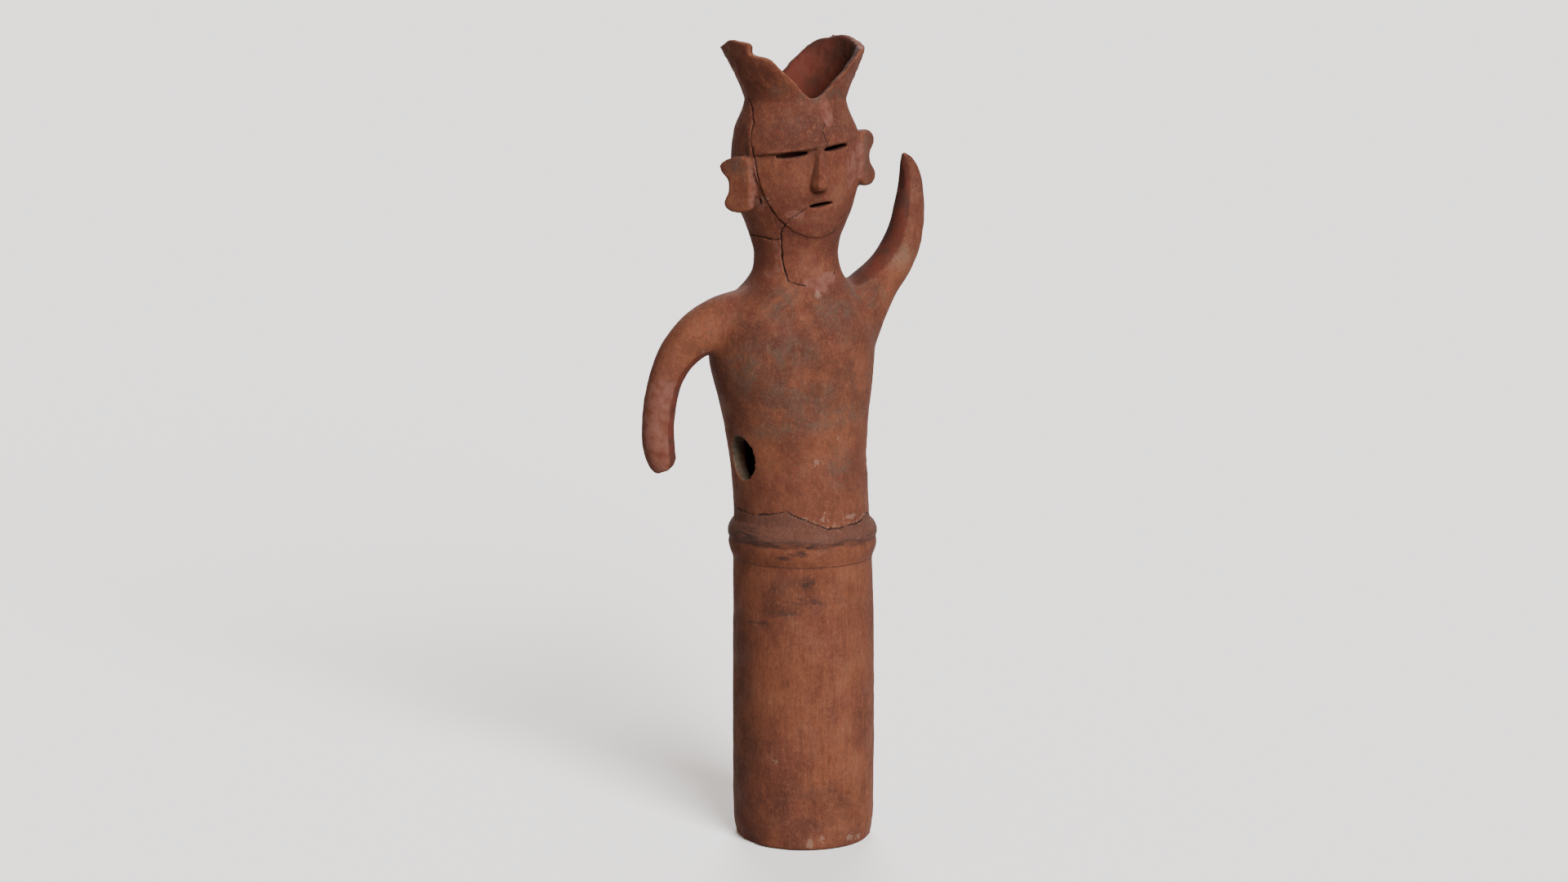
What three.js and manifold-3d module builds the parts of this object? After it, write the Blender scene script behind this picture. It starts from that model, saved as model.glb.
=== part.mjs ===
// A haniwa: a hollow earthenware grave figure, built up by hand and fired as one piece.
// A person in a split, flaring hat stands on an open cylinder, one arm hanging and one raised.
// Units are millimetres, +Z is up, and the figure faces -Y, so its right hand is at -X.

import * as THREE from "three";
import { mergeVertices } from "three/addons/utils/BufferGeometryUtils.js";
import Module from "manifold-3d";

const { degToRad, radToDeg, clamp, lerp } = THREE.MathUtils;
const wasm = await Module();
wasm.setup();

// Base cylinder
const BASE_HEIGHT = 268; // ground to the hoop's lower edge
const BASE_RADIUS = 67.3; // at its fullest, halfway up
const BASE_FOOT_RADIUS = 66.3;
const BASE_TOP_RADIUS = 65.2;
const BASE_WALL = 14;
const FOOT_WEAR = 2.5; // worn edge where the wall meets the ground

// Clay hoop round the joint of base and figure
const HOOP_HEIGHT = 38;
const HOOP_PROUD = 5; // beyond the top of the base
const HOOP_GROOVE = 1.6; // depth of the finger groove round its middle
const HOOP_SHIFT = 1.1; // the hoop's middle lies this far towards the right hand

// Figure, from the hoop's top to the highest point of the hat
const FIGURE_HEIGHT = 444;
const WAIST_SET_IN = 1.7; // the waist's radius is this much under the base's top radius

// Walls
const TORSO_WALL = 14;
const NECK_WALL = 11;
const HEAD_WALL = 10;
const HAT_WALL = 7;

// Holes through the walls
const SIDE_HOLE_WIDTH = 36;
const SIDE_HOLE_HEIGHT = 43;
const EYE_WIDTH = 32;
const EYE_HEIGHT = 5;
const MOUTH_WIDTH = 26;
const MOUTH_HEIGHT = 4.4;

// Pieces of clay laid on the head
const FACE_PROUD = 2; // the face is a thin slab
const BROW_HEIGHT = 8;
const BROW_PROUD = 2.2; // beyond the face
const NOSE_LENGTH = 38;
const NOSE_WIDTH = 17;
const NOSE_PROUD = 12; // beyond the face
const EAR_HEIGHT = 52;
const EAR_THICKNESS = 9;
const EAR_PROUD = 4.5; // beyond the head, at the plate's inner edge

// Directions in degrees; azimuths are from the front
const EAR_DROOP = 4; // each ear leans out at its foot
const FACE_TILT = 8; // the face sits aslant on an upright head, its right side lower
const EAR_AZIMUTH = 50;
const EYE_AZIMUTH = 21.5;
const BROW_AZIMUTH = 56; // each end of the brow
const SIDE_HOLE_AZIMUTH = 75.5;
const RIM_CHIP_AZIMUTH = -50;
const RIM_CHIP_TILT = 12;
const SCOOP_TILT = 6; // its top leans towards the head

// Fineness of the facets
const OUTER_SIDES = 44;
const INNER_SIDES = 32;
const ARM_SIDES = 14;

// Heights that follow from the sizes above
const FIGURE_FOOT = BASE_HEIGHT + HOOP_HEIGHT;
const TOTAL_HEIGHT = FIGURE_FOOT + FIGURE_HEIGHT;
const WAIST_RADIUS = BASE_TOP_RADIUS - WAIST_SET_IN;

// A share of the figure's height, in hundredths, as a length
const share = (hundredths) => (FIGURE_HEIGHT * hundredths) / 100;

// A level in hundredths of the figure's height, as a height above the ground
const level = (hundredths) => FIGURE_FOOT + share(hundredths);

// Levels on the figure, in hundredths of its height
const SIDE_HOLE_LEVEL = 14;
const CHIN_LEVEL = 59.8;
const MOUTH_LEVEL = 66.7;
const HEAD_MIDDLE = 73;
const EYE_LEVEL = 77.7;
const BROW_LEVEL = 79.3;
const HAT_SEAM = 87.7;

// The hoop from foot to top: out is a share of how far it stands proud
const HOOP_PROFILE = [
  { at: 0, out: 0 },
  { at: 0.1, out: 0.2 },
  { at: 0.2, out: 0.55 },
  { at: 0.34, out: 0.8 },
  { at: 0.46, out: 0.88 },
  { at: 0.6, out: 0.95 },
  { at: 0.7, out: 1 },
  { at: 0.8, out: 0.8 },
  { at: 0.92, out: 0.35 },
];

// The figure from waist to rim: half width, depth each way and lean towards the left hand are
// in hundredths of its height, and wall is a thickness.
const waistShare = (WAIST_RADIUS / FIGURE_HEIGHT) * 100;
const STATIONS = [
  { at: 0, half: waistShare, deep: waistShare, lean: -0.4, wall: TORSO_WALL },
  { at: 6, half: 14.3, deep: 14.2, lean: -0.7, wall: TORSO_WALL },
  { at: 19.6, half: 15.2, deep: 14.5, lean: -1.6, wall: TORSO_WALL },
  { at: 26.4, half: 16.4, deep: 14.7, lean: -2.1, wall: TORSO_WALL },
  { at: 33.5, half: 17.7, deep: 14.8, lean: -2.7, wall: TORSO_WALL },
  { at: 40, half: 17.8, deep: 14.2, lean: -2.7, wall: TORSO_WALL },
  { at: 45, half: 15.8, deep: 12.6, lean: -2.5, wall: TORSO_WALL },
  { at: 50, half: 10.8, deep: 10.2, lean: -1.6, wall: NECK_WALL },
  { at: 52.6, half: 9.2, deep: 9.2, lean: -1.6, wall: NECK_WALL },
  { at: 56, half: 8.7, deep: 8.9, lean: -1.8, wall: NECK_WALL },
  { at: 59.5, half: 9.4, deep: 9.8, lean: -2, wall: NECK_WALL },
  { at: 65, half: 11.7, deep: 11.7, lean: -1.9, wall: HEAD_WALL },
  { at: 70, half: 13.1, deep: 12.8, lean: -1.9, wall: HEAD_WALL },
  { at: 76, half: 13.5, deep: 13.1, lean: -1.9, wall: HEAD_WALL },
  { at: 82, half: 12.7, deep: 12.3, lean: -1.9, wall: HEAD_WALL },
  { at: 85.5, half: 11.1, deep: 11.1, lean: -1.9, wall: HAT_WALL },
  { at: 87.7, half: 10.5, deep: 10.6, lean: -1.9, wall: HAT_WALL },
  { at: 90.2, half: 11.4, deep: 11.3, lean: -1.9, wall: HAT_WALL },
  { at: 95, half: 13.6, deep: 13.3, lean: -2.1, wall: HAT_WALL },
  { at: 100, half: 15.1, deep: 14.8, lean: -2.5, wall: HAT_WALL },
];

// The ears are set at different heights. Inner is where the plate starts, and the other three are
// the reaches of its lobes and the waist between them, all from where the head faces as it does.
const RIGHT_EAR = { side: -1, middle: 71.2, inner: 11, upper: 43.5, waist: 35, lower: 41 };
const LEFT_EAR = { side: 1, middle: 76, inner: 2, upper: 38, waist: 26, lower: 46 };

// How far the rim dips below the full height, by azimuth, in hundredths of the height
const RIM = [
  { at: -180, dip: 0.9 },
  { at: -140, dip: 0.9 },
  { at: -115, dip: 1.6 },
  { at: -98, dip: 1.3 },
  { at: -82, dip: 0 },
  { at: -60, dip: 0.5 },
  { at: 57, dip: 1.8 },
  { at: 85, dip: 0.9 },
  { at: 112, dip: -0.5 },
  { at: 132, dip: -0.6 },
  { at: 180, dip: 0.9 },
];

// A piece is broken out of the rim beside the front notch, down to a level
const RIM_CHIP = { level: 96.6, size: 5 };

// Half widths of the face slab at the hat, the temples and the chin, in hundredths of the height.
// Its sides stay full as far as the jaw, from the brow at 0 to the chin at 1, and fade is the
// height below the hat over which it rises out of the forehead.
const FACE_TOP = 10.3;
const FACE_TEMPLE = 11.8;
const FACE_CHIN = 6.5;
const FACE_JAW = 0.62;
const FACE_FADE = 5;

// The spoon-shaped hollow of the raised hand: its middle and its length in hundredths of the
// height, and its width and depth as shares of its length
const SCOOP = { length: 8.8, across: 21.05, front: 0.4, level: 72, width: 0.2, depth: 0.5 };

// In hundredths of the height, a cutter for the front of the figure starts and stops at these
// distances from its middle, and runs this far past an open end
const CUTTER_START = 20;
const CUTTER_STOP = 4;
const CUTTER_PAST = 3;

// The notches in the hat. Spread is the half width at each unit of height, bend is the radius of
// the bottom and worn is the height of each worn corner at the rim, in hundredths of the height.
const FRONT_NOTCH = { azimuth: 0, bottom: 88.2, bend: 2.5, spread: 1.02, worn: 0.7 };
const BACK_NOTCH = { azimuth: 180, bottom: 91.5, bend: 1, spread: 1, worn: 2.4 };

// The value of one key of a table at a given place, along a smooth curve through its rows
function follow(table, at, key) {
  const last = table.length - 1;
  if (at <= table[0].at) return table[0][key];
  if (at >= table[last].at) return table[last][key];
  const i = table.findIndex((row) => row.at > at) - 1;
  const steepness = (n) =>
    (table[n + 1][key] - table[n][key]) / (table[n + 1].at - table[n].at);
  const steepnessAt = (n) => {
    if (n === 0 || n === last) return 0;
    const before = steepness(n - 1);
    const after = steepness(n);
    return before * after <= 0 ? 0 : (2 * before * after) / (before + after);
  };
  const span = table[i + 1].at - table[i].at;
  const t = (at - table[i].at) / span;
  const t2 = t * t;
  const t3 = t2 * t;
  return (
    (2 * t3 - 3 * t2 + 1) * table[i][key] +
    (t3 - 2 * t2 + t) * span * steepnessAt(i) +
    (3 * t2 - 2 * t3) * table[i + 1][key] +
    (t3 - t2) * span * steepnessAt(i + 1)
  );
}

// The figure's section at a height above the hoop
function sectionAt(height) {
  const at = clamp((height / FIGURE_HEIGHT) * 100, 0, 100);
  return {
    half: share(follow(STATIONS, at, "half")),
    deep: share(follow(STATIONS, at, "deep")),
    lean: share(follow(STATIONS, at, "lean")),
    wall: follow(STATIONS, at, "wall"),
  };
}

// A point of an oval section, at an azimuth from the front towards the left hand
function ringPoint({ half, deep, lean }, azimuth, z) {
  return new THREE.Vector3(lean + half * Math.sin(azimuth), -deep * Math.cos(azimuth), z);
}

function ring(section, sides, z) {
  return Array.from({ length: sides }, (_, i) =>
    ringPoint(section, (2 * Math.PI * i) / sides, z),
  );
}

function roundRing(radius, sides, z) {
  return ring({ half: radius, deep: radius, lean: 0 }, sides, z);
}

// A closed geometry through a stack of rings that all have the same number of points
function loft(rings) {
  const sides = rings[0].length;
  const points = rings.flat();
  const middle = (row) =>
    row.reduce((sum, p) => sum.add(p), new THREE.Vector3()).divideScalar(sides);
  const first = points.push(middle(rings[0])) - 1;
  const last = points.push(middle(rings[rings.length - 1])) - 1;
  const end = (rings.length - 1) * sides;
  const faces = [];
  for (let i = 0; i < sides; i += 1) {
    const next = (i + 1) % sides;
    for (let row = 0; row < end; row += sides) {
      faces.push(row + i, row + next, row + next + sides);
      faces.push(row + i, row + next + sides, row + i + sides);
    }
    faces.push(first, next, i, last, end + i, end + next);
  }
  return new THREE.BufferGeometry().setFromPoints(points).setIndex(faces);
}

// A closed geometry as a solid that can be joined and cut
function solid(geometry) {
  const bare = geometry.clone();
  bare.deleteAttribute("normal");
  bare.deleteAttribute("uv");
  const merged = mergeVertices(bare, 1e-4);
  return new wasm.Manifold(
    new wasm.Mesh({
      numProp: 3,
      vertProperties: merged.attributes.position.array,
      triVerts: new Uint32Array(merged.index.array),
    }),
  );
}

function geometryOf(body) {
  const { vertProperties, triVerts } = body.getMesh();
  return new THREE.BufferGeometry()
    .setAttribute("position", new THREE.BufferAttribute(vertProperties, 3))
    .setIndex(new THREE.BufferAttribute(triVerts, 1));
}

// An outline drawn in X and Z, extruded from one Y to another
function slab(shape, fromY, toY) {
  return new THREE.ExtrudeGeometry(shape, {
    depth: toY - fromY,
    bevelEnabled: false,
    curveSegments: 6,
  })
    .rotateX(Math.PI / 2)
    .translate(0, toY, 0);
}

// Turns a geometry made at the front to an azimuth, about the figure's axis at a level
function turned(geometry, azimuth, at) {
  return geometry.rotateZ(degToRad(azimuth)).translate(sectionAt(share(at)).lean, 0, 0);
}

// Tilts a geometry with the face, about the head's middle
function tilted(geometry) {
  const { lean } = sectionAt(share(HEAD_MIDDLE));
  return geometry
    .translate(-lean, 0, -level(HEAD_MIDDLE))
    .rotateY(degToRad(-FACE_TILT))
    .translate(lean, 0, level(HEAD_MIDDLE));
}

// The base swells gently between its foot and its top
function baseRadius(z) {
  const t = z / BASE_HEIGHT;
  const swell = BASE_RADIUS - (BASE_FOOT_RADIUS + BASE_TOP_RADIUS) / 2;
  return lerp(BASE_FOOT_RADIUS, BASE_TOP_RADIUS, t) + swell * Math.sin(Math.PI * t);
}

function baseRings() {
  const steps = 5;
  const rings = [roundRing(baseRadius(0) - FOOT_WEAR, OUTER_SIDES, 0)];
  rings.push(roundRing(baseRadius(FOOT_WEAR), OUTER_SIDES, FOOT_WEAR));
  for (let i = 1; i < steps; i += 1) {
    const z = (BASE_HEIGHT * i) / steps;
    rings.push(roundRing(baseRadius(z), OUTER_SIDES, z));
  }
  return rings;
}

function hoopRings() {
  const grooveAt = 0.53;
  const grooved = [
    ...HOOP_PROFILE.filter((row) => row.at < grooveAt),
    { at: grooveAt, out: 0.9, cut: HOOP_GROOVE },
    ...HOOP_PROFILE.filter((row) => row.at > grooveAt),
  ];
  return grooved.map(({ at, out, cut = 0 }) => {
    const radius = BASE_TOP_RADIUS + HOOP_PROUD * out - cut;
    const section = { half: radius, deep: radius, lean: -HOOP_SHIFT };
    return ring(section, OUTER_SIDES, BASE_HEIGHT + HOOP_HEIGHT * at);
  });
}

// Heights of the figure's rings above the hoop: its stations, and more wherever they are far apart
function ringHeights(spacing) {
  const heights = [];
  STATIONS.slice(1).forEach((station, i) => {
    const from = share(STATIONS[i].at);
    const to = share(station.at);
    const count = Math.ceil((to - from) / spacing);
    for (let n = 0; n < count; n += 1) heights.push(lerp(from, to, n / count));
  });
  return [...heights, FIGURE_HEIGHT];
}

// The outer form from the ground to the hat's rim. Grow is how far it is swollen at a height
// above the hoop.
function form(grow = () => 0) {
  const figureRings = ringHeights(share(5)).map((height) => {
    const s = sectionAt(height);
    const more = grow(height);
    const grown = { ...s, half: s.half + more, deep: s.deep + more };
    return ring(grown, OUTER_SIDES, FIGURE_FOOT + height);
  });
  figureRings[figureRings.length - 1].forEach((point, i) => {
    const azimuth = radToDeg((2 * Math.PI * i) / OUTER_SIDES);
    const dip = follow(RIM, azimuth > 180 ? azimuth - 360 : azimuth, "dip");
    point.z -= share(dip);
  });
  return solid(loft([...baseRings(), ...hoopRings(), ...figureRings]));
}

// The hollow inside everything, open below and above; each wall is measured square to its face
function hollow() {
  const bore = BASE_RADIUS - BASE_WALL;
  const past = share(CUTTER_PAST);
  const rings = [roundRing(bore, INNER_SIDES, -past), roundRing(bore, INNER_SIDES, BASE_HEIGHT)];
  for (const height of ringHeights(share(7))) {
    const s = sectionAt(height);
    const flare = height < FIGURE_HEIGHT ? sectionAt(height + 1).half - s.half : 0;
    const wall = s.wall * Math.hypot(1, flare);
    const inner = { ...s, half: s.half - wall, deep: s.deep - wall };
    rings.push(ring(inner, INNER_SIDES, FIGURE_FOOT + height));
  }
  rings.push(rings[rings.length - 1].map((point) => point.clone().setZ(TOTAL_HEIGHT + past)));
  return solid(loft(rings));
}

// An arm is a tapering roll of clay in the plane of the shoulders. Each row of its path is its
// place across and up from the waist's middle, and its radius, in hundredths of the height.
function arm(path) {
  const centres = new THREE.CatmullRomCurve3(
    path.map(([x, z]) => new THREE.Vector3(share(x), 0, level(z))),
    false,
    "centripetal",
  );
  const radii = path.map(([, , radius], i) => ({ at: i / (path.length - 1), radius }));
  const steps = (path.length - 1) * 2;
  const rings = Array.from({ length: steps + 1 }, (_, i) => {
    const centre = centres.getPoint(i / steps);
    const along = centres.getTangent(i / steps);
    const radius = share(follow(radii, i / steps, "radius"));
    return Array.from({ length: ARM_SIDES }, (_, n) => {
      const angle = (2 * Math.PI * n) / ARM_SIDES;
      const across = radius * Math.cos(angle);
      const back = radius * Math.sin(angle);
      const offset = new THREE.Vector3(along.z * across, back, -along.x * across);
      return offset.add(centre);
    });
  });
  return solid(loft(rings));
}

// The right arm hangs in a bow, and its hand is broken off
const HANGING_ARM = [
  [-9, 43.4, 5.4],
  [-13.5, 43.2, 5.7],
  [-19, 41.9, 5.6],
  [-24.2, 39.3, 4.9],
  [-28, 35.6, 4.2],
  [-30.8, 30.2, 3.6],
  [-32.2, 23, 3.5],
  [-32.3, 18.4, 3.5],
  [-31.8, 15, 3.3],
  [-31.2, 13, 2.9],
  [-30.7, 12.1, 2.2],
];

// The left arm rises in a hook that ends in a point
const RAISED_ARM = [
  [8.2, 33, 6.4],
  [10, 40.6, 7.2],
  [13.6, 45.6, 6.1],
  [17.6, 50.1, 4.75],
  [20.7, 54, 4.4],
  [22.8, 59, 3.9],
  [23.8, 64.9, 3.3],
  [24, 69.6, 2.7],
  [23.7, 72.4, 2.2],
  [23, 74.6, 1.5],
  [22.2, 76.1, 0.5],
];

// The side of the raised hand that faces the head is scooped out like a spoon
function scoop() {
  const hollowing = new THREE.SphereGeometry(share(SCOOP.length) / 2, 10, 8)
    .scale(SCOOP.width, SCOOP.depth, 1)
    .rotateY(degToRad(-SCOOP_TILT))
    .translate(share(SCOOP.across), -share(SCOOP.front), level(SCOOP.level));
  return solid(hollowing);
}

// The face slab: the head's own form a little swollen, within a shield from the hat to the chin
function face() {
  const { lean } = sectionAt(share(HEAD_MIDDLE));
  const [top, temple, chinSide] = [FACE_TOP, FACE_TEMPLE, FACE_CHIN].map(share);
  const hat = level(HAT_SEAM);
  const brow = level(BROW_LEVEL);
  const chin = level(CHIN_LEVEL);
  const jaw = lerp(brow, chin, FACE_JAW);
  const shield = new THREE.Shape()
    .moveTo(-top, hat)
    .lineTo(-temple, brow)
    .bezierCurveTo(-temple, jaw, -chinSide, chin, 0, chin)
    .bezierCurveTo(chinSide, chin, temple, jaw, temple, brow)
    .lineTo(top, hat)
    .closePath();
  const prism = slab(shield, -share(CUTTER_START), 0).translate(lean, 0, 0);
  const fade = (height) => clamp((share(HAT_SEAM) - height) / share(FACE_FADE), 0, 1);
  return form((height) => FACE_PROUD * fade(height)).intersect(solid(tilted(prism)));
}

// The brow is a soft ridge across the face, steepest above the eyes
function brow() {
  const steps = 10;
  const up = BROW_HEIGHT / 2;
  const rings = Array.from({ length: steps + 1 }, (_, i) => {
    const along = (2 * i) / steps - 1;
    const proud = FACE_PROUD + BROW_PROUD * (1 - along ** 4);
    const bite = HEAD_WALL / 2;
    const outline = [
      [-bite, -up],
      [-bite, up],
      [FACE_PROUD * 0.5, up],
      [lerp(FACE_PROUD, proud, 0.7), up * 0.2],
      [proud, -up * 0.7],
      [lerp(FACE_PROUD, proud, 0.9), -up],
    ];
    return outline.map(([out, rise]) => {
      const s = sectionAt(share(BROW_LEVEL) + rise);
      const grown = { ...s, half: s.half + out, deep: s.deep + out };
      return ringPoint(grown, degToRad(BROW_AZIMUTH * along), level(BROW_LEVEL) + rise);
    });
  });
  return solid(tilted(loft(rings)));
}

// The nose is a wedge that hangs from the brow, widest and fullest near its foot
function nose() {
  const foot = level(BROW_LEVEL) - BROW_HEIGHT / 2 - NOSE_LENGTH;
  const { lean, deep } = sectionAt(foot - FIGURE_FOOT + NOSE_LENGTH / 2);
  const rows = [
    { at: 0, width: 0.8, proud: 0.75 },
    { at: 0.1, width: 1, proud: 1 },
    { at: 0.35, width: 0.78, proud: 0.8 },
    { at: 0.7, width: 0.5, proud: 0.5 },
    { at: 1.08, width: 0.4, proud: 0.25 },
  ];
  const outline = [
    [-1, -0.8],
    [-1, 0.25],
    [-0.5, 0.92],
    [0, 1],
    [0.5, 0.92],
    [1, 0.25],
    [1, -0.8],
  ];
  const rings = rows.map(({ at, width, proud }) =>
    outline.map(([x, out]) => {
      const across = lean + (x * width * NOSE_WIDTH) / 2;
      const outward = NOSE_PROUD * proud * Math.max(out, 0) - HEAD_WALL * Math.max(-out, 0);
      return new THREE.Vector3(across, -deep - FACE_PROUD - outward, foot + NOSE_LENGTH * at);
    }),
  );
  return solid(loft(rings));
}

// An ear is an upright plate with two lobes and a waist, laid on the side of the head
function ear({ side, middle, inner, upper, waist, lower }) {
  const { half } = sectionAt(share(HEAD_MIDDLE));
  const h = EAR_HEIGHT / 2;
  const [i, u, w, l] = [inner, upper, waist, lower].map((reach) => reach * side);
  const plate = new THREE.Shape()
    .moveTo(i, -h * 0.7)
    .bezierCurveTo(i, -h * 0.9, lerp(i, l, 0.2), -h, lerp(i, l, 0.5), -h)
    .bezierCurveTo(l * 0.95, -h, l * 1.1, -h * 0.68, l * 0.94, -h * 0.42)
    .bezierCurveTo(l * 0.86, -h * 0.28, w, -h * 0.2, w, h * 0.06)
    .bezierCurveTo(w, h * 0.26, u * 0.92, h * 0.3, u * 0.98, h * 0.5)
    .bezierCurveTo(u * 1.06, h * 0.76, u * 0.9, h * 0.86, u * 0.68, h * 0.95)
    .bezierCurveTo(lerp(i, u, 0.4), h, i, h, i, h * 0.75)
    .closePath();
  const bevel = EAR_THICKNESS / 5;
  const geometry = new THREE.ExtrudeGeometry(plate, {
    depth: EAR_THICKNESS - 2 * bevel,
    bevelThickness: bevel,
    bevelSize: bevel,
    bevelOffset: -bevel,
    bevelSegments: 1,
    curveSegments: 4,
  })
    .rotateX(Math.PI / 2)
    .rotateY(degToRad(side * EAR_DROOP))
    .translate(0, EAR_THICKNESS - bevel - half - EAR_PROUD, level(middle));
  return solid(turned(geometry, side * EAR_AZIMUTH, HEAD_MIDDLE));
}

// A prism that cuts from the front as far as the middle of the body
function cutter(shape, at) {
  return slab(shape, -share(CUTTER_START), -share(CUTTER_STOP)).translate(0, 0, level(at));
}

function slit(width, height) {
  const w = width / 2;
  const h = height / 2;
  return new THREE.Shape()
    .moveTo(-w, 0)
    .bezierCurveTo(-w, -h * 0.6, -w * 0.5, -h, 0, -h)
    .bezierCurveTo(w * 0.5, -h, w, -h * 0.6, w, 0)
    .bezierCurveTo(w, h * 0.6, w * 0.5, h, 0, h)
    .bezierCurveTo(-w * 0.5, h, -w, h * 0.6, -w, 0);
}

function eye(side) {
  const cut = cutter(slit(EYE_WIDTH, EYE_HEIGHT), EYE_LEVEL);
  return solid(tilted(turned(cut, side * EYE_AZIMUTH, EYE_LEVEL)));
}

function mouth() {
  const cut = cutter(slit(MOUTH_WIDTH, MOUTH_HEIGHT), MOUTH_LEVEL);
  return solid(tilted(turned(cut, 0, MOUTH_LEVEL)));
}

function sideHole(side) {
  const oval = new THREE.Shape();
  oval.absellipse(0, 0, SIDE_HOLE_WIDTH / 2, SIDE_HOLE_HEIGHT / 2, 0, 2 * Math.PI);
  const cut = cutter(oval, SIDE_HOLE_LEVEL);
  return solid(turned(cut, side * SIDE_HOLE_AZIMUTH, SIDE_HOLE_LEVEL));
}

// A V with a rounded bottom, cut through the hat on one side, whose corners at the rim are worn
function notch({ azimuth, bottom, bend, spread, worn }) {
  const corner = Math.atan(spread);
  const radius = share(bend);
  const foot = new THREE.Vector2(Math.cos(corner), 1 - Math.sin(corner)).multiplyScalar(radius);
  const reachAt = (height) => foot.x + (height - foot.y) * spread;
  const rim = share(100 - bottom);
  const shoulder = rim - share(worn);
  const outside = reachAt(rim) + share(worn);
  const above = rim + share(CUTTER_PAST);
  const shape = new THREE.Shape()
    .moveTo(foot.x, foot.y)
    .lineTo(reachAt(shoulder), shoulder)
    .quadraticCurveTo(reachAt(rim), rim, outside, rim)
    .lineTo(outside, above)
    .lineTo(-outside, above)
    .lineTo(-outside, rim)
    .quadraticCurveTo(-reachAt(rim), rim, -reachAt(shoulder), shoulder)
    .lineTo(-foot.x, foot.y)
    .absarc(0, radius, radius, Math.PI + corner, 2 * Math.PI - corner, false);
  return solid(turned(cutter(shape, bottom), azimuth, HAT_SEAM));
}

function rimChip() {
  const size = share(RIM_CHIP.size);
  const cut = new THREE.BoxGeometry(size, share(CUTTER_START - CUTTER_STOP), size)
    .rotateY(degToRad(RIM_CHIP_TILT))
    .translate(0, -share(CUTTER_START + CUTTER_STOP) / 2, level(RIM_CHIP.level) + size / 2);
  return solid(turned(cut, RIM_CHIP_AZIMUTH, HAT_SEAM));
}

function haniwa() {
  const clay = [
    form(),
    face(),
    brow(),
    nose(),
    ear(RIGHT_EAR),
    ear(LEFT_EAR),
    arm(HANGING_ARM),
    arm(RAISED_ARM),
  ];
  const cuts = [
    hollow(),
    eye(-1),
    eye(1),
    mouth(),
    sideHole(-1),
    sideHole(1),
    notch(FRONT_NOTCH),
    notch(BACK_NOTCH),
    rimChip(),
    scoop(),
  ];
  const joined = clay.reduce((whole, piece) => whole.add(piece));
  return cuts.reduce((whole, piece) => whole.subtract(piece), joined);
}

const earthenware = new THREE.MeshStandardMaterial({
  color: 0x8a4a34,
  roughness: 0.9,
  metalness: 0,
});

// The part's origin is on the ground, under the middle of its bounding box
const geometry = geometryOf(haniwa());
geometry.computeBoundingBox();
geometry.computeVertexNormals();
const middle = geometry.boundingBox.getCenter(new THREE.Vector3());

const figure = new THREE.Mesh(geometry, earthenware);
figure.name = "haniwa_figure";
figure.position.set(-middle.x, -middle.y, 0);

const part = new THREE.Group();
part.add(figure);

export default part;
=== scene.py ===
"""Dresses the haniwa figure: fired clay with its hand-made unevenness, cracks, plaster and stains, and
painted shade in its dips, its hoop's grooves and its inside.
"""

import math

import bmesh
import bpy
import numpy as np
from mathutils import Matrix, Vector, noise
from mathutils.bvhtree import BVHTree
from mathutils.kdtree import KDTree


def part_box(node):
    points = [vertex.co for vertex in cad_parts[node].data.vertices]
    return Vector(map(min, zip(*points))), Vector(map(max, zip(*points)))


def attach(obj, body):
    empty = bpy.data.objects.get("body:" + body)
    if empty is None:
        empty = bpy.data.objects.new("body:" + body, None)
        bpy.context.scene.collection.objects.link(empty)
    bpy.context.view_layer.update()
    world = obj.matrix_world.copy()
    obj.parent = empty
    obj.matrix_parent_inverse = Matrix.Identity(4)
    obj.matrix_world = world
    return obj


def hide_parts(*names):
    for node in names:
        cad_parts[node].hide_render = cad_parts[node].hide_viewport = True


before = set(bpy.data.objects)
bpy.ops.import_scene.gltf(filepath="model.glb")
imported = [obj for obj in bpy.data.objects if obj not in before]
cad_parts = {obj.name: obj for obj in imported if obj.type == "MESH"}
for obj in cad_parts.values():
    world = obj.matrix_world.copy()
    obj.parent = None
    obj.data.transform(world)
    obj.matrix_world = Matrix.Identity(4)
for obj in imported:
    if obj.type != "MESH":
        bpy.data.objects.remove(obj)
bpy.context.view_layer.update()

NODE = "haniwa_figure"
FIGURE_HEIGHT = 752.62  # in the part's own millimetres
low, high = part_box(NODE)
MM = (high.z - low.z) / FIGURE_HEIGHT

# Fineness in millimetres, and the number of triangles that the clay is thinned out to
VOXEL = 1.25
CRACK_FINENESS = 0.7
TRIANGLES = 165000

# Heights above the ground, in millimetres
HOOP_FOOT = 268
HOOP_TOP = 306
BROW = 658
BROW_MIDDLE = 652
BROW_HALF_HEIGHT = 12
NOSE = 630
NOSE_HALF_HEIGHT = 28
HAT_SEAM = 695

# The figure leans sideways from a height on, until it has gone this far over a second height
LEAN = -8.5
LEAN_FOOT = 290
LEAN_HEIGHT = 130

# Half the angle that the brow and the nose take up about the head, in degrees
BROW_HALF_ANGLE = 62
NOSE_HALF_ANGLE = 13

FACE_SLOPE = 0.14  # the face sits aslant: this much height for each unit across
BROW_LEDGE = 1.3  # how far the brow's crisp edge stands out, in millimetres

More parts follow.
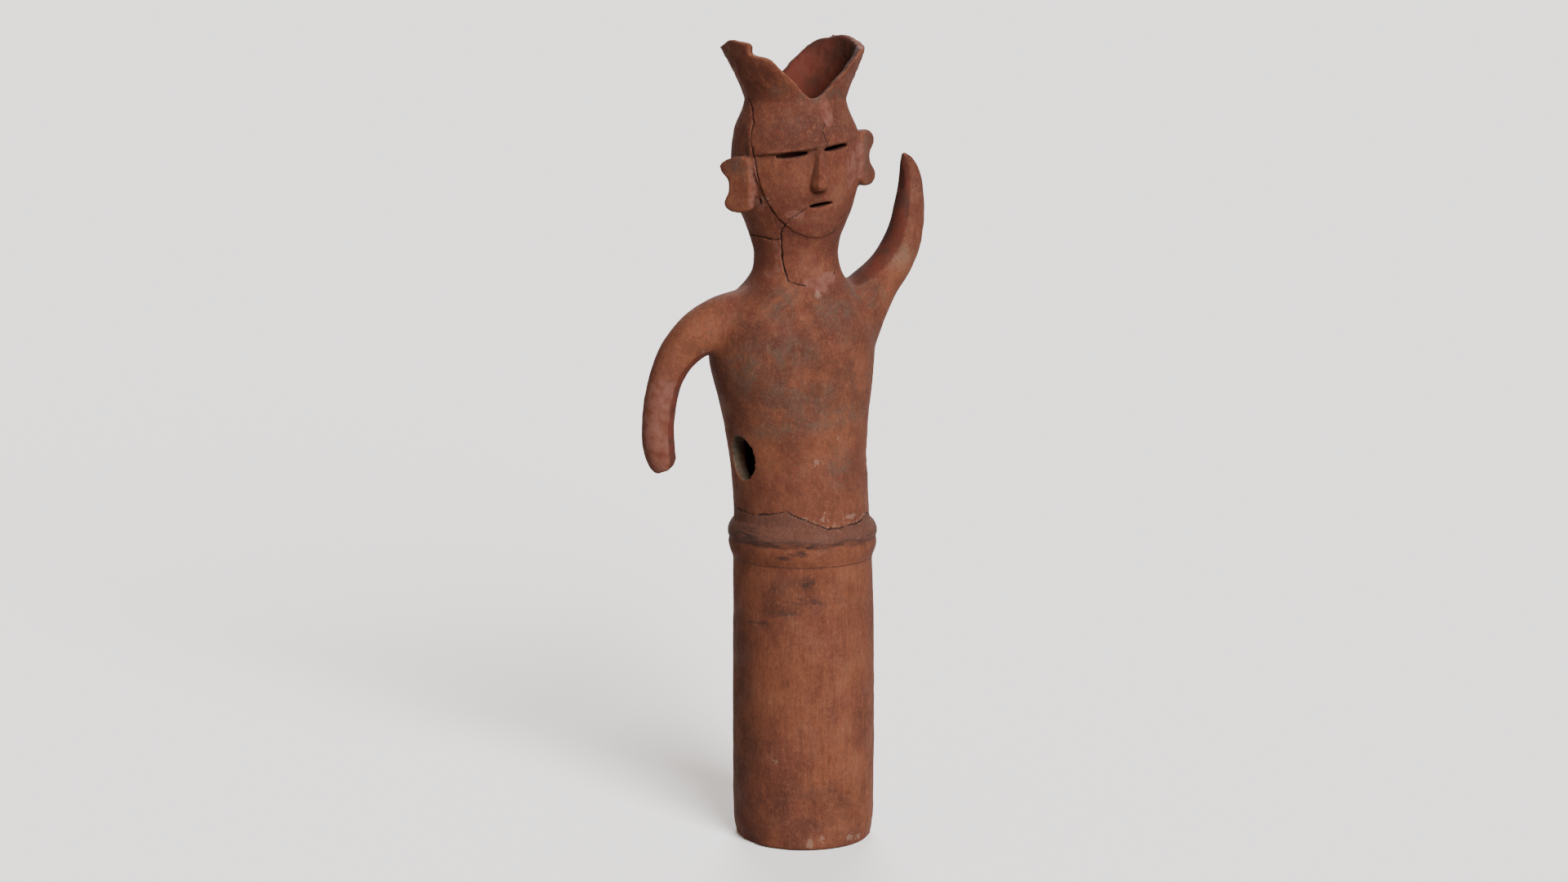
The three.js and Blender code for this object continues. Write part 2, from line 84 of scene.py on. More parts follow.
# Spans over which a part of the figure begins or ends: heights, places across towards the left
# hand and radii in millimetres, and azimuths in degrees
HOOP_IN, HOOP_OUT = (262, 268), (308, 316)
WAVE_IN, WAVE_OUT = (262, 272), (300, 312)
FOOT = (0, 4)
WORN_FOOT = (0, 20)
OUTER_FOOT = (58, 64)
ROOT_ACROSS, ROOT_IN, ROOT_OUT = (30, 45), (420, 440), (545, 565)
HAND_ACROSS, HAND_IN = (80, 86), (585, 600)
TIP_ACROSS, TIP_OUT = (-95, -110), (352, 372)
RIGHT_HORN = (6, 14)
LEFT_RIM, RIGHT_RIM = (730, 738), (728, 738)
ROUGH_HAT = (HAT_SEAM + 8, HAT_SEAM + 18)
LEDGE_IN, LEDGE_OUT, LEDGE_ENDS = (-4, -2), (-2, 7), (40, 58)

# Ridges of the solid sharper than an angle in degrees are kept. They are marked by points a step
# in millimetres apart, and the smoothing of the broad faces sets in over a distance from them.
# None are marked on the hoop and a margin about it, the arm roots and the raised hand.
RIDGE_ANGLE = 34
RIDGE_STEP = 1.5
RIDGE_FADE = (2, 9)
ROOT_FOOT, ROOT_TOP, ROOT_SIDE = 425, 560, 40
HAND_FOOT, HAND_SIDE = 600, 84
HOOP_MARGIN = 5
FACE_KEPT = 0.92  # the share of that smoothing that the brow and the nose are spared

# How far the smoothing of each part of the surface reaches, in millimetres
REACH = {
    "all": 0.9,
    "hoop": 2.2,
    "broad": 5.5,
    "rim": 1.7,
    "right_rim": 3.4,
    "hand": 4,
    "root": 8,
}

# Layers of unevenness: how far each moves the surface and the size of its lumps in millimetres,
# its seed, and how far its lumps are drawn out upwards
BROAD_SWELL = (0.6, 60, 1, 1.0)
COIL_SWELL = (0.3, 22, 2, 0.6)
DENTS = (0.16, 7, 3, 1.0)
HOOP_WAVE = (1.3, 34, 4, 1.0)
RIM_LUMPS = (0.5, 9, 6, 1.0)
RIM_CHIPS = (0.35, 4, 7, 1.0)
TIP_LUMPS = (0.9, 7, 8, 1.0)

# Layers of the same kind that vary a share of the foot's wear, of a crack's width and depth and of
# the painted shade of the groove line, in place of a distance
WEAR_LUMPS = (0.5, 15, 5, 1.0)
CRACK_SWELL = (0.45, 9, 11, 1.0)
CRACK_LUMPS = (0.3, 3, 12, 1.0)
LINE_LUMPS = (0.3, 24, 31, 1.0)

# The wear of the foot in millimetres: all round, and more at two azimuths, each with how many
# degrees it spreads and how deep it goes
FOOT_WEAR = 0.7
WORN_SIDES = ((-88, 34, 4.6), (62, 20, 2.07))
HOOP_RING = 60  # the radius of the ring that the hoop's wave is read along


def points_of(mesh):
    flat = np.empty(len(mesh.vertices) * 3)
    mesh.vertices.foreach_get("co", flat)
    return flat.reshape(-1, 3)


def set_points(mesh, points):
    mesh.vertices.foreach_set("co", points.reshape(-1))
    mesh.update()


def normals_of(mesh):
    flat = np.empty(len(mesh.vertices) * 3)
    mesh.vertex_normals.foreach_get("vector", flat)
    return flat.reshape(-1, 3)


def smoothstep(a, b, value):
    t = np.clip((np.asarray(value, float) - a) / (b - a), 0, 1)
    return t * t * (3 - 2 * t)


def between(value, begins, ends):
    """1 where a value is past the first span and short of the second."""
    return smoothstep(*begins, value) * (1 - smoothstep(*ends, value))


def hump(value, middle, half, power=2):
    """1 at the middle, falling off smoothly past a half width."""
    return np.exp(-(np.abs((value - middle) / half) ** power))


def layer(points, height, size, seed, stretch):
    """One layer of unevenness: smooth noise at each point, up to about a height either way."""
    place = points / (size * MM)
    place = place * (1, 1, 1 / stretch) + (seed * 17.3, seed * 5.1, seed * 9.7)
    return height * np.array([noise.noise(p) for p in place.tolist()])


# The middle of the foot ring is the axis that azimuths are measured about
cad_points = points_of(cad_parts[NODE].data)
foot_ring = cad_points[cad_points[:, 2] < low.z + MM]
AXIS = (foot_ring.min(0) + foot_ring.max(0)) / 2


def lean(z):
    """How far the figure's middle leans to its right at a height, in millimetres."""
    return LEAN * np.clip((np.asarray(z, float) - LEAN_FOOT) / LEAN_HEIGHT, 0, 1)


def to_mm(points):
    """Points in millimetres from the foot of the base's axis."""
    return (points - (AXIS[0], AXIS[1], low.z)) / MM


def to_metres(place):
    return np.asarray(place, float) * MM + (AXIS[0], AXIS[1], low.z)


def around(points):
    """The azimuth from the front in degrees, the radius and the height of each point, in millimetres."""
    place = to_mm(points)
    across = place[:, 0] - lean(place[:, 2])
    azimuth = np.degrees(np.arctan2(across, -place[:, 1]))
    return azimuth, np.hypot(across, place[:, 1]), place[:, 2]


def apply_modifiers(obj):
    graph = bpy.context.evaluated_depsgraph_get()
    mesh = bpy.data.meshes.new_from_object(obj.evaluated_get(graph))
    obj.modifiers.clear()
    obj.data = mesh


def link(name, mesh):
    obj = bpy.data.objects.new(name, mesh)
    bpy.context.scene.collection.objects.link(obj)
    return obj


def weight_group(obj, name, weights):
    """A vertex group with one weight for each vertex, in steps of a twentieth."""
    group = obj.vertex_groups.new(name=name)
    steps = np.round(np.clip(weights, 0, 1) * 20).astype(int)
    for step in range(1, 21):
        chosen = np.nonzero(steps == step)[0]
        if len(chosen):
            group.add(chosen.tolist(), step / 20, "REPLACE")


def ease(obj, name, weights):
    """Smooths the surface where the weights say, as far as the part's own reach."""
    weight_group(obj, name, weights)
    smooth = obj.modifiers.new(name, "SMOOTH")
    smooth.vertex_group = name
    smooth.factor = 0.5
    smooth.iterations = max(1, round(3 * (REACH[name] / VOXEL) ** 2))


def sharp_points(mesh, least):
    """Points along the edges whose faces meet at more than an angle in degrees."""
    found = []
    bm = bmesh.new()
    bm.from_mesh(mesh)
    bmesh.ops.remove_doubles(bm, verts=bm.verts, dist=0.001 * MM)
    limit = math.radians(least)
    for edge in bm.edges:
        if len(edge.link_faces) == 2 and edge.calc_face_angle(0) > limit:
            a, b = (vert.co for vert in edge.verts)
            count = max(1, round((b - a).length / (RIDGE_STEP * MM)))
            found += [a.lerp(b, i / count) for i in range(count + 1)]
    bm.free()
    return found


def tree_of(points):
    tree = KDTree(len(points))
    for i, point in enumerate(points):
        tree.insert(point, i)
    tree.balance()
    return tree


def distances(tree, points):
    """The distance of each point from the nearest in the tree, in millimetres."""
    return np.array([tree.find(p)[2] for p in points.tolist()]) / MM


def kept_ridges(mesh):
    """Points along the solid's sharp edges, but for the arm roots, the hoop and the raised hand."""
    ridges = np.array([tuple(p) for p in sharp_points(mesh, RIDGE_ANGLE)])
    _, _, z = around(ridges)
    x = to_mm(ridges)[:, 0] - lean(z)
    arm_root = (z > ROOT_FOOT) & (z < ROOT_TOP) & (np.abs(x) > ROOT_SIDE)
    hoop = (z > HOOP_FOOT - HOOP_MARGIN) & (z < HOOP_TOP + HOOP_MARGIN)
    hand = (x > HAND_SIDE) & (z > HAND_FOOT)
    return ridges[~(arm_root | hoop | hand)]


def clay_copy():
    """The CAD solid as fine clay: voxels, then its broad faces eased out of their facets."""
    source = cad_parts[NODE].data
    obj = link("haniwa_clay", source.copy())
    remesh = obj.modifiers.new("remesh", "REMESH")
    remesh.mode = "VOXEL"
    remesh.voxel_size = VOXEL * MM
    apply_modifiers(obj)
    points = points_of(obj.data)
    azimuth, _, z = around(points)
    x = to_mm(points)[:, 0] - lean(z)
    near = distances(tree_of([Vector(p) for p in kept_ridges(source)]), points)
    on_hoop = between(z, HOOP_IN, HOOP_OUT)
    brow = hump(z, BROW_MIDDLE, BROW_HALF_HEIGHT, 4) * (np.abs(azimuth) < BROW_HALF_ANGLE)
    nose = hump(azimuth, 0, NOSE_HALF_ANGLE, 4) * hump(z, NOSE, NOSE_HALF_HEIGHT, 4)
    raised_hand = smoothstep(*HAND_ACROSS, x) * smoothstep(*HAND_IN, z)
    broad = smoothstep(*RIDGE_FADE, near) * (1 - on_hoop)
    broad = broad * (1 - FACE_KEPT * np.maximum(brow, nose)) * (1 - raised_hand)
    right_horn = smoothstep(*RIGHT_HORN, x)
    root = smoothstep(*ROOT_ACROSS, np.abs(x)) * between(z, ROOT_IN, ROOT_OUT)
    ease(obj, "all", np.ones(len(points)))
    ease(obj, "hoop", on_hoop)
    ease(obj, "broad", broad)
    ease(obj, "rim", smoothstep(*LEFT_RIM, z) * (1 - right_horn))
    ease(obj, "right_rim", smoothstep(*RIGHT_RIM, z) * right_horn)
    ease(obj, "hand", raised_hand)
    ease(obj, "root", root * broad)
    apply_modifiers(obj)
    obj.vertex_groups.clear()
    return obj


def unevenness(obj):
    """The slow swells of a coil-built wall, the wavy hoop, the worn foot and the rough rim."""
    mesh = obj.data
    points = points_of(mesh)
    normals = normals_of(mesh)
    azimuth, radius, z = around(points)
    x, y, _ = to_mm(points).T
    swell = layer(points, *BROAD_SWELL) + layer(points, *COIL_SWELL) + layer(points, *DENTS)
    moved = points + normals * (swell * smoothstep(*FOOT, z) * MM)[:, None]
    turn = np.radians(azimuth)
    ring = np.stack([np.cos(turn), np.sin(turn), turn * 0], 1) * HOOP_RING * MM
    moved[:, 2] += between(z, WAVE_IN, WAVE_OUT) * layer(ring, *HOOP_WAVE) * MM
    wear = FOOT_WEAR + sum(deep * hump(azimuth, at, wide) for at, wide, deep in WORN_SIDES)
    wear = wear * (1 - smoothstep(*WORN_FOOT, z)) * smoothstep(*OUTER_FOOT, radius)
    wear = wear * (0.75 + layer(points, *WEAR_LUMPS))
    inward = np.stack([-x, -y, x * 0], 1) / radius[:, None]
    moved += inward * (wear * MM)[:, None]
    moved[:, 2] = np.maximum(moved[:, 2], low.z)
    rough = smoothstep(*ROUGH_HAT, z) * (layer(points, *RIM_LUMPS) + layer(points, *RIM_CHIPS))
    above_brow = z - BROW - FACE_SLOPE * (x - lean(z))
    ledge = between(above_brow, LEDGE_IN, LEDGE_OUT) * (1 - smoothstep(*LEDGE_ENDS, np.abs(azimuth)))
    broken = smoothstep(*TIP_ACROSS, x) * (1 - smoothstep(*TIP_OUT, z)) * layer(points, *TIP_LUMPS)
    moved += normals * ((rough + BROW_LEDGE * ledge + broken) * MM)[:, None]
    set_points(mesh, moved)


def thin_out(obj):
    count = sum(len(face.vertices) - 2 for face in obj.data.polygons)
    decimate = obj.modifiers.new("decimate", "DECIMATE")
    decimate.ratio = min(1, TRIANGLES / count)
    apply_modifiers(obj)


TORSO_RADIUS = 64
CAST_FROM = 95  # the rays that find the outer surface start this far from the axis
CRACK_RADIUS = 60  # the radius that a crack's length is measured at
CRACK_STEP = 0.5
SPLIT_REACH = 2.6  # the mesh is made finer this near to a crack
CRACK_REACH = 6
CRACK_FADE = 1.15  # how much wider the colour of a crack is than its hollow

# Crack routes over the clay, as azimuth and height in degrees and millimetres, then each one's
# half width, its depth and how far it wanders, in millimetres
CRACKS = [
    ([(-32, 584), (-26, 590), (-18, 594), (-12, 599)], 0.5, 1.3, 0.8),
    ([(-32, 584), (-36, 580), (-39, 573), (-39, 565), (-40, 553), (-36, 543), (-30, 533)], 0.7, 1.8, 0.7),
    ([(-93, 572), (-85, 572), (-64, 571), (-46, 569), (-40, 571)], 0.55, 1.5, 0.5),
    ([(-32, 533), (-20, 530), (-8.5, 528)], 0.5, 1.2, 0.6),
    ([(35, 537), (46.5, 544), (53, 548.5)], 0.5, 1.0, 0.6),
    ([(7, 653), (7, 661), (5, 669), (8, 676)], 0.4, 0.9, 0.6),
    ([(-58, 646), (-53, 646.5), (-51, 646.5)], 0.45, 1.0, 0.4),
    ([(-57, 606.5), (-57.5, 603)], 0.9, 2.2, 0.3),
    (
        [
            (-95, 320), (-85, 317), (-67, 316), (-46, 318), (-39, 321), (-32, 321), (-25, 317),
            (-18.5, 314), (-8, 308), (-1, 305), (14, 306), (33, 307), (53, 312), (75, 309),
            (100, 314), (125, 311), (150, 318), (175, 315), (200, 320), (225, 316), (245, 321),
            (265, 320),
        ],
        0.6,
        1.1,
        1.2,
    ),
    (
        [
            (-86, 696), (-75, 689), (-65, 676), (-64, 661), (-61, 651), (-58, 643), (-56, 629),
            (-51, 610), (-45, 597), (-38, 588), (-32, 584),
        ],
        0.6,
        1.8,
        0.2,
    ),
]
TORSO_BREAK = CRACKS[8][0]


def surface_tree(obj):
    graph = bpy.context.evaluated_depsgraph_get()
    return BVHTree.FromObject(obj, graph)


def on_body(tree, azimuth, z):
    """The outer surface at an azimuth and height, in metres, or None."""
    angle = math.radians(azimuth)
    out = Vector((math.sin(angle), -math.cos(angle), 0))
    middle = Vector(to_metres((float(lean(z)), 0, z)))
    start = middle + out * CAST_FROM * MM
    return tree.ray_cast(start, -out)[0]


def crack_points(tree):
    """For each crack, points about half a millimetre apart along its wandering route."""
    routes = []
    for number, (route, _, _, stray) in enumerate(CRACKS):
        found = []
        for (a0, z0), (a1, z1) in zip(route, route[1:]):
            length = math.hypot(math.radians(a1 - a0) * CRACK_RADIUS, z1 - z0)
            count = max(2, round(length / CRACK_STEP))
            for i in range(count):
                t = i / count
                azimuth = a0 + (a1 - a0) * t
                z = z0 + (z1 - z0) * t
                wander = Vector((azimuth * 0.2, z * 0.2, number * 7.7))
                azimuth += stray * (noise.noise(wander) + 0.5 * noise.noise(wander * 3.1))
                z += stray * noise.noise(wander + Vector((40, 0, 0)))
                z += stray * 0.5 * noise.noise((wander + Vector((80, 0, 0))) * 3.1)
                hit = on_body(tree, azimuth, z)
                if hit:
                    found.append(hit)
        routes.append(found)
    return routes


def refine(obj, routes):
    """Splits the edges near the cracks until they are fine enough to carry them."""
    tree = tree_of([p for route in routes for p in route])
    bm = bmesh.new()
    bm.from_mesh(obj.data)
    for _ in range(2):
        near = {v for v in bm.verts if tree.find(v.co)[2] < SPLIT_REACH * MM}
        long = [
            e
            for e in bm.edges
            if (e.verts[0] in near or e.verts[1] in near)
            and e.calc_length() > 1.35 * CRACK_FINENESS * MM
        ]
        bmesh.ops.subdivide_edges(bm, edges=long, cuts=1)
        bmesh.ops.triangulate(bm, faces=[f for f in bm.faces if len(f.verts) > 3])
    bm.to_mesh(obj.data)
    bm.free()


def cut_cracks(obj, routes):
    """Sinks the cracks into the clay and returns how much of a crack each vertex is."""
    mesh = obj.data
    points = points_of(mesh)
    normals = normals_of(mesh)
    sunk = np.zeros(len(points))
    share = np.zeros(len(points))
    for (_, width, depth, _), route in zip(CRACKS, routes):
        near = distances(tree_of(route), points)
        close = near < CRACK_REACH
        here = points[close]
        vary = 1 + layer(here, *CRACK_SWELL) + layer(here, *CRACK_LUMPS)
        half = width * vary
        sunk[close] = np.maximum(sunk[close], depth * vary * hump(near[close], 0, half))
        share[close] = np.maximum(share[close], hump(near[close], 0, half * CRACK_FADE))
    set_points(mesh, points - normals * (sunk * MM)[:, None])
    return share


def attribute(mesh, name, values):
    channel = mesh.attributes.new(name, "FLOAT", "POINT")
    channel.data.foreach_set("value", np.clip(values, 0, 1).astype(np.float32))


def patches(listed, azimuth, radius, z):
    """1 for each vertex inside a patch, fading to its edge."""
    found = np.zeros(len(z))
    for at, height, wide, tall in listed:
        turn = (azimuth - at + 180) % 360 - 180
        across = np.radians(turn) * radius / wide
        reach = np.hypot(across, (z - height) / tall)
        found = np.maximum(found, 1 - smoothstep(0.45, 1.35, reach))
    return found


# Patches of each kind of surface: azimuth in degrees, then height, half width and half height
# in millimetres
PLASTER = [
    (-54, 541, 11, 7), (3, 528, 14, 8), (50, 641, 9, 18), (36, 634, 8, 20), (-57, 606, 6, 10),
    (-58, 629, 4, 18), (-20, 594, 12, 4), (13, 686, 7, 15), (-46, 560, 4, 10), (25, 535, 9, 6),
    (-48, 604, 10, 3),
]
PALE = [
    (-1.4, 313.5, 7, 1.6), (23, 314.6, 9, 1.4), (0.2, 319.5, 6, 1), (40, 313, 6, 1),
    (-18.7, 315, 3, 2), (4, 520, 3, 4), (120, 316, 9, 1.3), (170, 322, 8, 1.4),
    (-6, 394, 7, 0.6), (-6.4, 367, 9, 0.6), (12, 389, 6, 0.5), (-16, 8, 3, 6), (-6, 12, 2, 5),
    (20, 9, 6, 3), (30, 7, 5, 3), (-44, 84, 2, 2.5), (-50, 608, 5, 2),
]
GREY = [
    (-34.5, 511, 16, 16), (-60, 452, 22, 26), (67, 516, 18, 14), (-30, 470, 30, 16),
    (20, 505, 26, 12), (0, 408, 60, 12), (-20, 430, 40, 14), (150, 470, 30, 26),
    (-150, 350, 30, 40), (110, 120, 26, 40), (-40, 396, 24, 10), (10, 700, 30, 8),
    (-40, 705, 10, 8), (62, 645, 10, 20), (-70, 640, 16, 14), (15, 360, 16, 20),
]
WARM = [
    (-4, 457, 34, 26), (10, 156, 60, 60), (-37, 189, 40, 34), (14, 392, 34, 20), (30, 90, 34, 40),
    (150, 200, 40, 60), (-120, 90, 36, 50), (20, 285, 60, 5), (-40, 275, 40, 4), (-30, 640, 20, 24),
    (170, 420, 40, 40), (35, 120, 26, 60), (-20, 130, 40, 40), (-50, 718, 34, 20),
]
BLOOD = [
    (-42, 345, 26, 14), (5, 350, 18, 10), (-20, 480, 26, 30), (-46, 420, 14, 22), (14, 672, 10, 8),
    (0, 560, 26, 20), (-30, 620, 18, 16), (60, 420, 18, 26), (-80, 660, 16, 26), (130, 380, 26, 30),
]
DEEPER = [
    (-20, 40, 90, 34), (-80, 120, 26, 120), (-10, 515, 70, 16), (-60, 480, 20, 30), (-30, 250, 60, 12),
    (160, 60, 70, 50), (-5, 668, 60, 24), (0, 455, 110, 60), (-160, 500, 50, 30), (-14, 232, 50, 8),
    (70, 470, 14, 40),
]
DARK = [
    (-26, 284, 12, 4), (-17, 289, 12, 3), (-36, 279, 8, 3), (-18, 255, 7, 6), (-70, 298, 16, 7),
    (60, 292, 12, 5), (-44, 87, 2, 2), (140, 284, 14, 4), (-140, 286, 12, 5), (-14, 238, 30, 2),
    (-40, 226, 20, 3), (-62, 214, 18, 4), (100, 250, 20, 16), (-57, 604, 3, 4),
]


def curvature(mesh, points, normals):
    """How far each vertex stands out from its neighbours, smoothed: above 0 on edges, below in dips."""
    flat = np.empty(len(mesh.edges) * 2, int)
    mesh.edges.foreach_get("vertices", flat)
    a, b = flat.reshape(-1, 2).T
    count = np.bincount(a, minlength=len(points)) + np.bincount(b, minlength=len(points))

    def mean(values):
        return (
            np.bincount(a, values[b], len(points)) + np.bincount(b, values[a], len(points))
        ) / np.maximum(count, 1)

    length = np.linalg.norm(points[a] - points[b], axis=1)
    size = (np.bincount(a, length, len(points)) + np.bincount(b, length, len(points))) / count
    around_it = np.stack([mean(points[:, i]) for i in range(3)], 1)
    proud = ((points - around_it) * normals).sum(1) / size**2 * MM
    for _ in range(3):
        proud = (proud + mean(proud)) / 2
    return proud


# A vertex is on the figure's inside if it faces inwards and a ray outwards meets clay within a
# distance in millimetres. The ray starts a little off the surface.
FACES_IN = 0.35
OFF_SURFACE = 0.4
WALL_REACH = 22

# Places of the colours: heights, places across and radii in millimetres, azimuths in degrees
ARM_ACROSS, ARM_FOOT = (78, 88), 320
FOREARM_ACROSS, FOREARM_IN, FOREARM_OUT = (-86, -98), (352, 366), (432, 452)
PALM_ACROSS, PALM_IN = (80, 88), (572, 600)
BAND_IN = (289, 294)
OUTER_RADIUS = 55
CUT_RADIUS = 46
BLOOD_UPWARDS = (400, 520)
DEEP_FOOT = (0, 80)
WIPED_OUT = (240, 330)
GRITTY_FROM = (306, 318)
HAT_EDGE = (HAT_SEAM + 4, HAT_SEAM + 9)

# Rings round the hoop, each with its height and half height, darkened there as painted shade
FINGER_GROOVE = (291, 4.5)
GROOVE_LINE = (288.5, 1.3)
LIP = (269.5, 1.2)

# The pale, ragged clay above the torso's break: its foot, its middle and half height above the
# break, and the azimuths that it lies between
BREAK_EDGE = (-0.8, 0.8)
RAGGED_FOOT = -0.5
RAGGED = (2, 3.2)
RAGGED_FROM = (-25, -12)
RAGGED_END = 75

# How far a surface faces outwards, 1 for straight outwards, on the cut wall of the side holes and
# where the rim begins
CUT_FACING = 0.55
RIM_FACING = (0.75, 0.25)

# How far a vertex stands out from its neighbours where an edge, or the painted shade of a dip, begins to
# show
EDGE_SHOWS = (0.03, 0.12)
DIP_SHOWS = (0.03, 0.14)

# Spots on the arms: place across and height of the middle, then half width and half height
ASH_SPOT = (92, 550, 14, 12)
ELBOW_SPOT = (-100, 466, 9, 4)

# The two side holes, at this azimuth to either side
HOLE_AZIMUTH = 75.5
HOLE_HEIGHT = 368
HOLE_HALF_WIDTH = 22
HOLE_HALF_HEIGHT = 25
HOLE_EDGE = (0.8, 1.1)


def spot(x, z, across, height, half_width, half_height):
    return hump(x, across, half_width) * hump(z, height, half_height)


def is_inside(obj, points, normals, outward, facing):
    """1 for each vertex of the figure's inside."""
    tree = surface_tree(obj)
    found = np.zeros(len(points))
    for i in np.nonzero(facing < FACES_IN)[0]:
        start = Vector(points[i]) + Vector(normals[i]) * OFF_SURFACE * MM
        hit = tree.ray_cast(start, Vector(outward[i]), WALL_REACH * MM)[0]
        found[i] = 1.0 if hit else 0.0
    return found


def paint(obj, dark_lines):
    """Vertex values that tell the material where each kind of surface lies, and where shade is painted:
    in dips, along the hoop's groove, groove line and lip, and inside the figure.
    """
    mesh = obj.data
    points = points_of(mesh)
    normals = normals_of(mesh)
    azimuth, radius, z = around(points)
    x = to_mm(points)[:, 0]
    outward = np.stack([np.sin(np.radians(azimuth)), -np.cos(np.radians(azimuth)), azimuth * 0], 1)
    facing = (normals * outward).sum(1)
    inside = is_inside(obj, points, normals, outward, facing)
    outer = 1 - inside
    body = 1 - smoothstep(*ARM_ACROSS, np.abs(x - lean(z))) * (z > ARM_FOOT)

    def seen(listed):
        return patches(listed, azimuth, radius, z)

    forearm = smoothstep(*FOREARM_ACROSS, x) * between(z, FOREARM_IN, FOREARM_OUT)
    plaster = np.maximum(seen(PLASTER) * body, forearm)
    pale = np.maximum(seen(PALE) * body, 0.8 * spot(x, z, *ELBOW_SPOT))
    from_hole = np.radians(np.abs(np.abs(azimuth) - HOLE_AZIMUTH)) * TORSO_RADIUS / HOLE_HALF_WIDTH
    hole = np.hypot(from_hole, (z - HOLE_HEIGHT) / HOLE_HALF_HEIGHT)
    cut = (1 - smoothstep(*HOLE_EDGE, hole)) * (facing < CUT_FACING) * (radius > CUT_RADIUS) * body
    rim = smoothstep(*HAT_EDGE, z) * smoothstep(*RIM_FACING, np.abs(facing))
    proud = curvature(mesh, points, normals)

    start = TORSO_BREAK[0][0]
    turn = (azimuth - start) % 360 + start
    above = z - np.interp(turn, *np.array(TORSO_BREAK, float).T)
    band = smoothstep(*BAND_IN, z) * (1 - smoothstep(*BREAK_EDGE, above))
    ragged = hump(above, *RAGGED) * (above > RAGGED_FOOT)
    ragged = ragged * smoothstep(*RAGGED_FROM, turn) * (turn < RAGGED_END)
    on_wall = radius > OUTER_RADIUS
    # Painted shade darkens the hoop's finger groove, its groove line and the line under its lip
    groove_shade = hump(z, *FINGER_GROOVE) * on_wall
    groove_line_shade = hump(z, *GROOVE_LINE) * on_wall
    lip_shade = hump(z, *LIP) * on_wall
    seam_shade = 0.62 * lip_shade + groove_line_shade * (0.36 + layer(points, *LINE_LUMPS))

    palm = smoothstep(*PALM_ACROSS, x) * smoothstep(*PALM_IN, z)
    blood = np.maximum(seen(BLOOD), smoothstep(*BLOOD_UPWARDS, z)) * body
    deeper = np.maximum(seen(DEEPER), 0.7 * (1 - smoothstep(*DEEP_FOOT, z))) * body
    # The cracks, with the painted shade of the hoop's groove line and lip
    attribute(mesh, "dark_lines", np.maximum(dark_lines, seam_shade * outer))
    attribute(mesh, "plaster", plaster)
    attribute(mesh, "pale", np.maximum(pale, 0.42 * ragged * body))
    attribute(mesh, "blood", np.maximum(blood, palm))
    attribute(mesh, "deeper", np.maximum(deeper, 0.8 * palm))
    attribute(mesh, "ash", spot(x, z, *ASH_SPOT))
    attribute(mesh, "grey", seen(GREY) * body)
    attribute(mesh, "warm", seen(WARM) * body)
    # Dark smudges, with the painted shade of the hoop's finger groove
    attribute(mesh, "smudge_and_groove_shade", np.maximum(seen(DARK) * body, groove_shade))
    attribute(mesh, "band", band * body * outer)
    attribute(mesh, "wiped", 0.35 + 0.65 * (1 - smoothstep(*WIPED_OUT, z)))
    attribute(mesh, "grit", smoothstep(*GRITTY_FROM, z) * (1 - plaster) * 0.75 + 0.25)
    # The figure's inside is painted darker, as painted shade
    attribute(mesh, "inside", inside * (1 - cut))
    attribute(mesh, "cut", cut)
    attribute(mesh, "rim", rim * (1 - inside * 0.5))
    attribute(mesh, "edge", smoothstep(*EDGE_SHOWS, proud) * outer)
    # Painted shade in the dips
    attribute(mesh, "painted_dip_shade", smoothstep(*DIP_SHOWS, -proud) * outer)


SHADE = 0.335  # the clay reflects this share of what a colour read under full light would
BUMP_HEIGHT = 0.55


def linear(red, green, blue):
    """A colour of 0 to 255 a channel, as the shader's own numbers."""
    parts = [c / 255 for c in (red, green, blue)]
    parts = [c / 12.92 if c <= 0.04045 else ((c + 0.055) / 1.055) ** 2.4 for c in parts]
    return tuple(c * SHADE for c in parts) + (1,)


